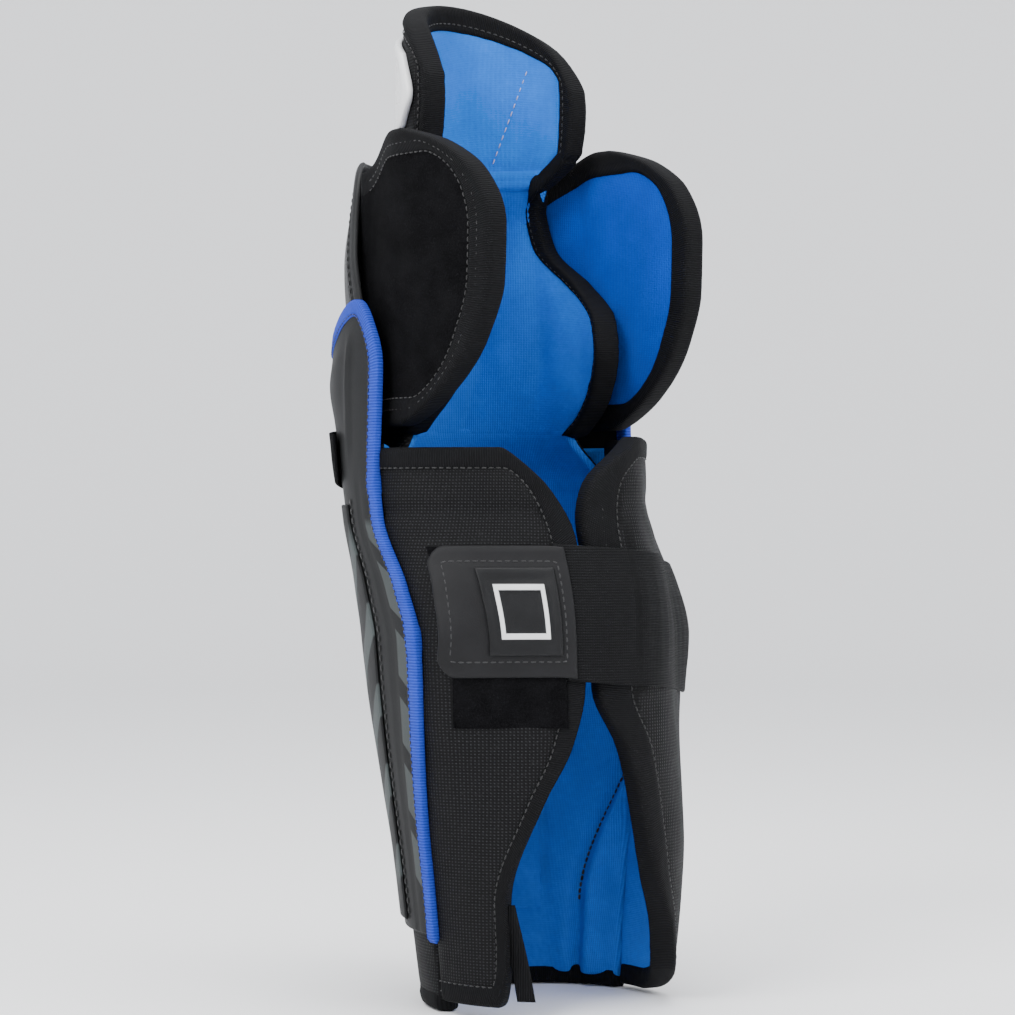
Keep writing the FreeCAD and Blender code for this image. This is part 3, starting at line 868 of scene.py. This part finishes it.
def make_thigh_flap():
    core = within(thigh_area, 0.10, 0.05, 0.18)
    outer, inner = PLATE + 1.0, PLATE + 1 + FOAM + 0.4 + LINING
    soft = pad("thigh_cushion", core, outer, inner, [NYLON_FINISH, KNIT_FINISH], edge=3.5, step=4.2, crown=1.6,
               seams=[lambda u, v: (u - 0.13) * 88], swell=2.5, ripple=0.6)
    carry(refine(soft), "thigh_flap", "blue_knit", "thigh_foam", "thigh_lining", fill=0.7)

    def hem(s, r, inset):
        return thigh_area(*open_hem(s, r, 0.155, 0.07, 0.17), inset)

    edge = folded_strip("thigh_edge_binding", hem, PLATE + 0.2, inner + 1.6, BINDING_FINISH, step=2.4, around=30,
                        valleys=(0.66,), pucker=0.9)
    carry(edge, "thigh_flap", "black_binding", "thigh_binding")
    for word, inset, finish in (("inner", inner + 0.9, GREY_THREAD), ("outer", PLATE + 0.4, BLACK_THREAD)):
        sign = 1 if word == "outer" else -1

        def at(t, inset=inset, sign=sign):
            spot = hem(between(0.02, 0.98, t), 0.66, inset)
            return spot, (spot - hem(between(0.02, 0.98, t), 0.66, inset + 1)) * sign

        carry(stitch_row(f"thigh_binding_stitches_{word}", at, finish, 3.6, 2.4, 0.32), "thigh_flap", "black_binding")

    for word, side in SIDES:
        def foot(s, r, inset, side=side):
            angle = side * between(83, 53, s)
            return thigh_point(angle, flap_foot(angle) + between(-1, 10, r) - 5 * soft_step(0.75, 1, s), inset)

        low = folded_strip(f"thigh_foot_binding_{word}", foot, PLATE + 0.4, inner + 1.4, BINDING_FINISH, step=2.4,
                           around=28, valleys=(0.66,), pucker=0.6)
        carry(low, "thigh_flap", "black_binding")

    def crease(u, v, inset):
        angle, z = between(-66, 66, u), between(409, 439, v)
        t = soft_step(412, 434, z)
        return knee_point(angle, z, inset).lerp(thigh_point(angle, z, inset + PLATE + 1), t)

    gusset = pad("knee_crease_gusset", crease, 1.0, inner - PLATE - 0.2, [NYLON_FINISH, KNIT_FINISH], edge=3,
                 step=3.6, seams=[lambda u, v: (v - 0.62) * 30], ripple=0.4)
    carry(gusset, CREASE, "blue_knit", fill=0.5)

    def plate(u, v, inset):
        angle = between(-1, 1, v) * (66 + 11 * math.sin(math.pi * u))
        return thigh_point(angle, between(447 + 0.0016 * angle**2, flap_head(angle) - 14, u), inset)

    def raised_rim(u, v, face):
        gap = min(min(u, 1 - u) * 62, min(v, 1 - v) * 133)
        return 0.9 * hump(gap, 4, 2) if face > 0 else 0

    white = pad("thigh_plate_moulding", plate, -1.4, PLATE - 0.2, [WHITE_FINISH], edge=1.4, step=3.5,
                relief=raised_rim, ripple=0.1)
    carry(white, "thigh_flap", "thigh_white", "thigh_plate")

    def stitched(t):
        angle, z = between(-54, -27, t), between(492, 436, t)
        spot = thigh_point(angle, z, inner + 1.5)
        return spot, thigh_point(angle, z, inner + 2.8) - spot

    carry(stitch_row("thigh_lining_stitches", stitched, PALE_THREAD, 4.6, 3.0, 0.36), "thigh_flap", "blue_knit")


# ---- The knee liner and ears ----
def make_knee_liner():
    def area(u, v, inset):
        z = between(CALF_TOP + 1, KNEE_TOP + 3, v)
        return knee_point(between(-1, 1, u) * (KNEE_EDGE(z) - KNEE_HEM + 2), z, inset)

    inner = FOAM + 0.4 + LINING
    liner = pad("knee_liner_pad", area, 0, inner, [NYLON_FINISH, KNIT_FINISH], edge=3, step=4.4, crown=1.2,
                seams=[lambda u, v: (u - 0.36) * 230], swell=2.2, ripple=0.5)
    carry(refine(liner), "guard", "blue_knit", "knee_foam", "knee_lining", fill=0.6)

    def skirt(u, v, inset):
        angle, z = between(-85, 85, u), between(262, 300, v)
        low = shell_point(angle, z, LINER_OUT + 5 + inset)
        return low.lerp(knee_point(angle, z, inset + 2.4), soft_step(0.1, 0.95, v))

    funnel = pad("knee_to_shin_lining", skirt, 0, 8.6, [NYLON_FINISH, KNIT_FINISH], edge=3, step=4, ripple=0.5)
    carry(funnel, "guard", "blue_knit", fill=0.5)
    for word, side in SIDES:
        def edge(s, r, inset):
            z = between(CALF_TOP + 1, 433, s)
            angle = side * (KNEE_EDGE(z) - between(-0.5, KNEE_HEM - 0.6, r) - 3 * soft_step(418, 433, z))
            over = thigh_point(angle, z, inset + PLATE + 1)
            return knee_point(angle, z, inset).lerp(over, soft_step(412, 434, z))

        strip = folded_strip(f"knee_edge_binding_{word}", edge, -HEM_OVER, inner + HEM_OVER + 0.4, BINDING_FINISH,
                             step=2.2, around=28, valleys=(0.7,), pucker=0.6)
        carry(strip, CREASE, "black_binding", f"knee_binding_{word}")

        def at(t):
            spot = edge(between(0.03, 0.97, t), 0.7, inner + 0.7)
            return spot, edge(between(0.03, 0.97, t), 0.7, inner + 1.7) - spot

        carry(stitch_row(f"knee_edge_stitches_{word}", at, GREY_THREAD, 3.6, 2.4, 0.32), CREASE, "black_binding")


def ear_place(side):
    """A knee wing with its root: u from well inside the shell to the rear edge, v up."""
    def place(u, v, inset):
        z = between(EAR_BOTTOM, EAR_TOP, v)
        y = between(-47, EAR_REAR(z), u)
        lean = 0.0011 * max(y - EAR_HINGE_Y, 0) ** 2
        root = EAR_HINGE_Y - y
        tuck = 13.8 * soft_step(0, 47, root)
        thin = 1 - 0.6 * soft_step(0, 30, root)
        return Vector((side * (EAR_X - lean - tuck - inset * thin), y, z - 18 * v * soft_step(12, 54, root)))

    return place


def make_ears():
    for word, side in SIDES:
        place = ear_place(side)
        inner = WING_FOAM + 1.5 + LINING
        core = within(place, 0.085, 0.06, 0.30)
        hinge = ("guard", f"knee_wing_{word}", (side * 0.077, 0.0, 0.373), (side * 0.077, 0.017, 0.373))
        ear = pad(f"knee_ear_{word}", core, 0, inner, [VELVET_FINISH, ROYAL_FINISH], edge=4, step=4.2, crown=0.9,
                  chart=side_view, swell=1.8, ripple=0.5)
        carry(refine(ear), hinge, "black_nylon", f"knee_wing_foam_{word}", f"knee_wing_cover_{word}",
              f"knee_wing_lining_{word}", f"knee_side_panel_{word}", fill=0.7)

        def hem(s, r, inset):
            return place(*open_hem(s, r, 0.135, 0.10, 0.27), inset)

        strip = folded_strip(f"knee_ear_binding_{word}", hem, -HEM_OVER - 0.3, inner + HEM_OVER + 0.3, BINDING_FINISH,
                             step=2.4, around=32, valleys=(0.55,), pucker=0.5)
        carry(strip, hinge, "black_binding", f"knee_wing_binding_{word}")
        for row, across, finish in (("outer", 0.55, GREY_THREAD), ("inner", 0.93, BLACK_THREAD)):
            def at(t):
                spot = hem(between(0.03, 0.97, t), across, -HEM_OVER + 0.35)
                return spot, spot - hem(between(0.03, 0.97, t), across, -HEM_OVER + 1.35)

            carry(stitch_row(f"knee_ear_stitches_{row}_{word}", at, finish, 3.8, 2.6, 0.34), hinge, "black_binding")


# ---- The shin liner ----
def make_shin_liner():
    foam_in = LINER_OUT + FOAM
    inner = foam_in + 0.4 + LINING

    def area(u, v, inset):
        return shell_point(between(-LINER_HALF, LINER_HALF, u), between(LINER_FOOT, LINER_TOP, v), inset)

    def valley_line(z):
        return -58 - 22 * soft_step(44, 132, z)

    def valley(u, v):
        z = between(LINER_FOOT, LINER_TOP, v)
        return (between(-LINER_HALF, LINER_HALF, u) - valley_line(z)) * 1.3 if z < 134 else 30

    def channels(u, v):
        angle = between(-LINER_HALF, LINER_HALF, u)
        past_ends = v > 0.9 or v < 0.13
        return min(abs(angle - sewn) for sewn in (-40, -14, 14, 40)) * 1.2 + (2.4 if past_ends else 0)

    def fold(u, v, face):
        gap = -valley(u, v)
        if face > 0 or gap <= -25:
            return 0
        return 6.5 * hump(gap, 10, 7) + 2.5 * hump(gap, -9, 6) - 4 * hump(gap, 0, 3.2)

    liner = pad("shin_liner_pad", area, LINER_OUT, inner, [NYLON_FINISH, KNIT_FINISH], edge=3, step=3.6, crown=1.2,
                seams=[valley, channels], relief=fold, swell=1.6, ripple=0.5)
    carry(refine(liner), "guard", "blue_knit", "shin_foam", "shin_lining", fill=0.6)

    def foot(s, r, inset):
        return shell_point(between(-LINER_HALF, LINER_HALF, s), between(0, 10, r), inset)

    hem = folded_strip("shin_foot_binding", foot, LINER_OUT - HEM_OVER, inner + HEM_OVER, BINDING_FINISH, step=3,
                       around=24, valleys=(0.7,), pucker=0.5)
    carry(hem, "guard", "black_binding", "shin_hem")

    def stitched(t):
        z = between(130, 42, t)
        spot = shell_point(valley_line(z), z, inner - 2.2)
        return spot, shell_point(valley_line(z), z, inner) - spot

    for word, centre in (("near", 27), ("middle", 0), ("far", -27)):
        def rib(u, v, inset):
            return shell_point(centre + between(-11, 11, u), between(40, 265, v), inset)

        cushion = pad(f"shin_rib_pad_{word}", rib, inner - 0.4, inner + 4, [KNIT_FINISH], edge=5, step=3.6, crown=0.8,
                      seams=[lambda u, v: (v - 0.5) * 225], swell=1.2, ripple=0.4)
        carry(refine(cushion), "guard", "blue_knit", f"shin_rib_{word}", fill=0.7)
    # The valley's black stitches are real. Drawn this thick and almost unbroken, they also stand in as painted shade
    # down the deep fold.
    carry(stitch_row("shin_valley_stitches_and_painted_shade", stitched, BLACK_THREAD, 3.4, 3.2, 0.85), "guard", "blue_knit")


# ---- The calf wings ----
def wing_place(side):
    free = NEAR_FREE if side == NEAR else FAR_FREE
    top = CALF_TOP - 6 if side == NEAR else CALF_TOP

    def place(u, v, inset):
        z = between(6 if side == NEAR else 2, top, v)
        angle = between(-5.5, free(z), u)
        point = calf_point(side, angle, z, inset)
        if side == FAR:
            point.z += 40 * max(u - 0.35, 0) ** 1.5 * (1 - v) ** 6
        return point

    return place


def make_calf_wings():
    for word, side in SIDES:
        place = wing_place(side)
        hinge = ("guard", f"calf_wing_{word}", (side * 0.087, 0.036, 0.150), (side * 0.087, 0.058, 0.150))
        finishes = [NYLON_FINISH, VELVET_FINISH if side == NEAR else KNIT_FINISH]
        wing = pad(f"calf_wing_pad_{word}", within(place, 0.075, 0.022, 0.17), 0, WING_IN, finishes, edge=4, step=4.6,
                   crown=0.9, swell=2.2, ripple=0.7, seams=[lambda u, v: (v - 0.9) * 290])
        carry(refine(wing), hinge, "black_nylon", f"calf_panel_{word}", f"calf_wing_foam_{word}",
              f"calf_wing_cover_{word}", f"calf_wing_lining_{word}", fill=0.65)

        def hem(s, r, inset):
            return place(*open_hem(s, r, 0.135, 0.042, 0.15), inset)

        strip = folded_strip(f"calf_wing_edge_{word}", hem, -HEM_OVER - 0.2, WING_IN + HEM_OVER, BINDING_FINISH,
                             step=2.8, around=30, valleys=(0.5,), pucker=0.5)
        carry(strip, hinge, "black_binding", f"calf_wing_binding_{word}")
        for row, across, slant in (("outer", 0.5, 0.5), ("inner", 0.9, 0.0)):
            def at(t):
                spot = hem(between(0.01, 0.99, t), across, -HEM_OVER + 0.4)
                return spot, spot - hem(between(0.01, 0.99, t), across, -HEM_OVER + 1.4)

            carry(stitch_row(f"calf_wing_stitches_{row}_{word}", at, BLACK_THREAD, 3.6, 2.5, 0.34, slant), hinge,
                  "black_binding")

    def loop(u, v, inset):
        return calf_point(NEAR, between(14, 62, u), between(146, 236, v), inset)

    patch = pad("calf_loop_panel", loop, -2.7, 0.0, [VELVET_FINISH], edge=1.0, step=4, ripple=0.2)
    carry(patch, "calf_wing_near", "loop_fabric")

    def tail(u, v, inset):
        angle = 31.5 + 8 * (1 - v) + between(-4.5, 4.5, u)
        return calf_point(NEAR, angle, between(9, 58, v), 5 + 1.5 * math.sin(v * 5) + inset)

    strip = pad("calf_hem_tail", tail, 0, 2.2, [BINDING_FINISH], edge=1.0, step=2.5, ripple=0.5)
    carry(strip, "calf_wing_near", "black_binding")


# ---- The strap and the front band ----
def make_strap():
    def elastic(u, v, inset):
        return strap_place(between(62, 166, u), 1 - v, inset)

    band = pad("calf_strap_elastic", elastic, STRAP_OUT - 2.2, STRAP_OUT, [ELASTIC_FINISH], edge=0.9, step=3.2,
               relief=lambda u, v, face: 0.25 * math.sin(u * 90) * math.sin(v * math.pi), ripple=0.4)
    carry(band, "strap", "elastic", "calf_strap")

    def tab(u, v, inset):
        cut = 0.5 * (1 - min(u / 0.14, 1)) ** 2
        across = between(0.98 - 0.26 * cut, 0.02 + 0.26 * cut, v)
        return strap_place(between(14.5 - 6 * across, 65.6, u), across, inset)

    def ribs(u, v, face):
        rim = min(u * 84, v * 66, (1 - v) * 66)
        return (0.5 * hump(rim, 2.5, 1.5) - 0.5 * hump(rim, 6, 1.0)) if face > 0 else 0

    pull = pad("strap_tab_moulding", tab, STRAP_OUT - 4, STRAP_OUT - 1.6, [TAB_FINISH], edge=1.2, step=2.6,
               relief=ribs, ripple=0.2)
    carry(pull, "strap", "tab_rubber", "strap_tab")

    def badge(u, v, inset):
        return strap_place(between(30, 60, u), between(0.82, 0.18, v), inset)

    def facets(u, v, face):
        gap = min(min(u, 1 - u) * BADGE_WIDE, min(v, 1 - v) * BADGE_HIGH)
        return (-0.7 * soft_step(3, 5, gap) + 0.8 * hump(gap, 9.5, 1.4)) if face > 0 else 0

    plaque = pad("tab_badge_moulding", badge, STRAP_OUT - 6.2, STRAP_OUT - 4.3, [BADGE_FINISH], edge=1.1, step=1.8,
                 relief=facets, chart=lambda _p, u, v: (u * BADGE_WIDE, v * BADGE_HIGH, 0), ripple=0.05)
    carry(plaque, "strap", "badge_rubber", "tab_badge")

    def frame_line(t):
        sides = ((0.10, 0.12), (0.93, 0.12), (0.93, 0.88), (0.10, 0.88), (0.10, 0.12))
        k = min(int(t * 4), 3)
        a, b = Vector(sides[k]), Vector(sides[k + 1])
        return tuple(a.lerp(b, t * 4 - k))

    row = on_skin(tab, frame_line, STRAP_OUT - 3.9)
    carry(stitch_row("strap_tab_stitches", row, GREY_THREAD, 4.0, 2.8, 0.34), "strap", "tab_rubber")


def make_inner_foams():
    """The foam behind the knee cap and inside the knee cup."""
    def cup(u, v, inset):
        return shell_point(between(-27, 27, u), between(CALF_TOP - 2, PLATE_BOTTOM - 8, v), inset)

    block = pad("knee_cup_foam", cup, SHELL + 0.8, SHELL + 7, [FOAM_FINISH], edge=2.5, step=4, crown=0.3, ripple=0.3)
    carry(block, "guard", "foam", "knee_cup_pad", fill=0.8)

    def cap(u, v, inset):
        return plate_point(between(-30, 30, u), between(372, 416, v), inset)

    block = pad("knee_cap_foam", cap, PLATE + 0.4, PLATE + 3.4, [FOAM_FINISH], edge=1.4, step=4, ripple=0.1)
    carry(block, "knee_plate", "foam", "upper_knee_pad", fill=0.8)


def make_front_band():
    def band(u, v, inset):
        angle = between(-62, 62, u)
        return shell_point(angle, between(258 + 0.2 * abs(angle), 300 - 0.1 * abs(angle), v), inset)

    strip = pad("front_band_loop", band, -3.9, -2.2, [VELVET_FINISH], edge=1.0, step=3.5, ripple=0.5)
    carry(strip, "guard", "loop_fabric", "front_band")

    def end(u, v, inset):
        return shell_point(between(-85, -73, u), between(284, 298, v), inset)

    webbing = pad("front_band_end", end, -2.2, -0.4, [WEBBING_FINISH], edge=0.8, step=2.5, ripple=0.2)
    carry(webbing, "guard", "black_binding")


def dress_hidden_parts():
    """The hard parts that stay as they are still get their own finish."""
    finishes = {"shell_hook": HOOK_FINISH, "tab_hook": HOOK_FINISH}
    for name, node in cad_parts.items():
        if node.hide_render:
            continue
        finish = next((f for start, f in finishes.items() if name.startswith(start)), FOAM_FINISH)
        node.data.materials.clear()
        node.data.materials.append(finish)


def make_studio():
    """A round pale floor that curves up all round, three soft lights and the camera."""
    profile = [(0.6, 0), (1.2, 0), (2.6, 0)]
    profile += [(2.6 + math.sin(a * math.pi / 20), 1 - math.cos(a * math.pi / 20)) for a in range(1, 11)] + [(3.6, 1.4)]
    around = 72
    points = [(0, 0, -0.0004)]
    for radius, z in profile:
        for k in range(around):
            turn = 2 * math.pi * k / around
            points.append((radius * math.cos(turn), radius * math.sin(turn), z - 0.0004))
    faces = [(0, 1 + k, 1 + (k + 1) % around) for k in range(around)]
    for ring in range(len(profile) - 1):
        for k in range(around):
            a, b = 1 + ring * around + k, 1 + ring * around + (k + 1) % around
            faces.append((a, a + around, b + around, b))
    mesh = bpy.data.meshes.new("studio_sweep")
    mesh.from_pydata(points, [], faces)
    mesh.polygons.foreach_set("use_smooth", [True] * len(faces))
    mesh.materials.append(studio_floor())
    sweep = bpy.data.objects.new("studio_sweep", mesh)
    bpy.context.scene.collection.objects.link(sweep)

    world = bpy.data.worlds.new("studio_air")
    world.use_nodes = True
    world.node_tree.nodes["Background"].inputs["Color"].default_value = (0.93, 0.95, 1.0, 1)
    world.node_tree.nodes["Background"].inputs["Strength"].default_value = 1.3
    bpy.context.scene.world = world
    target = Vector((0, 0, 0.2555))
    for name, spot, size, power in (
        ("key_light", (1.5, 0.35, 1.5), 0.9, 34),
        ("fill_light", (-0.5, 1.6, 1.0), 1.2, 16),
        ("top_light", (0.0, 0.1, 1.9), 1.0, 24),
    ):
        lamp = bpy.data.lights.new(name, "AREA")
        lamp.size, lamp.energy = size, power
        light = bpy.data.objects.new(name, lamp)
        light.location = spot
        light.rotation_euler = (target - Vector(spot)).to_track_quat("-Z", "Y").to_euler()
        bpy.context.scene.collection.objects.link(light)
    camera = bpy.data.objects.new("camera", bpy.data.cameras.new("camera"))
    camera.data.sensor_width, camera.data.lens = 36, 100.9
    camera.location = target + Vector((0.643, 0.766, 0)) * 1.5
    camera.rotation_euler = (target - camera.location).to_track_quat("-Z", "Y").to_euler()
    bpy.context.scene.collection.objects.link(camera)
    bpy.context.scene.camera = camera


make_shell()
make_edge_tape()
make_knee_plate()
make_thigh_flap()
make_knee_liner()
make_ears()
make_shin_liner()
make_calf_wings()
make_strap()
make_front_band()
make_inner_foams()
dress_hidden_parts()
make_studio()
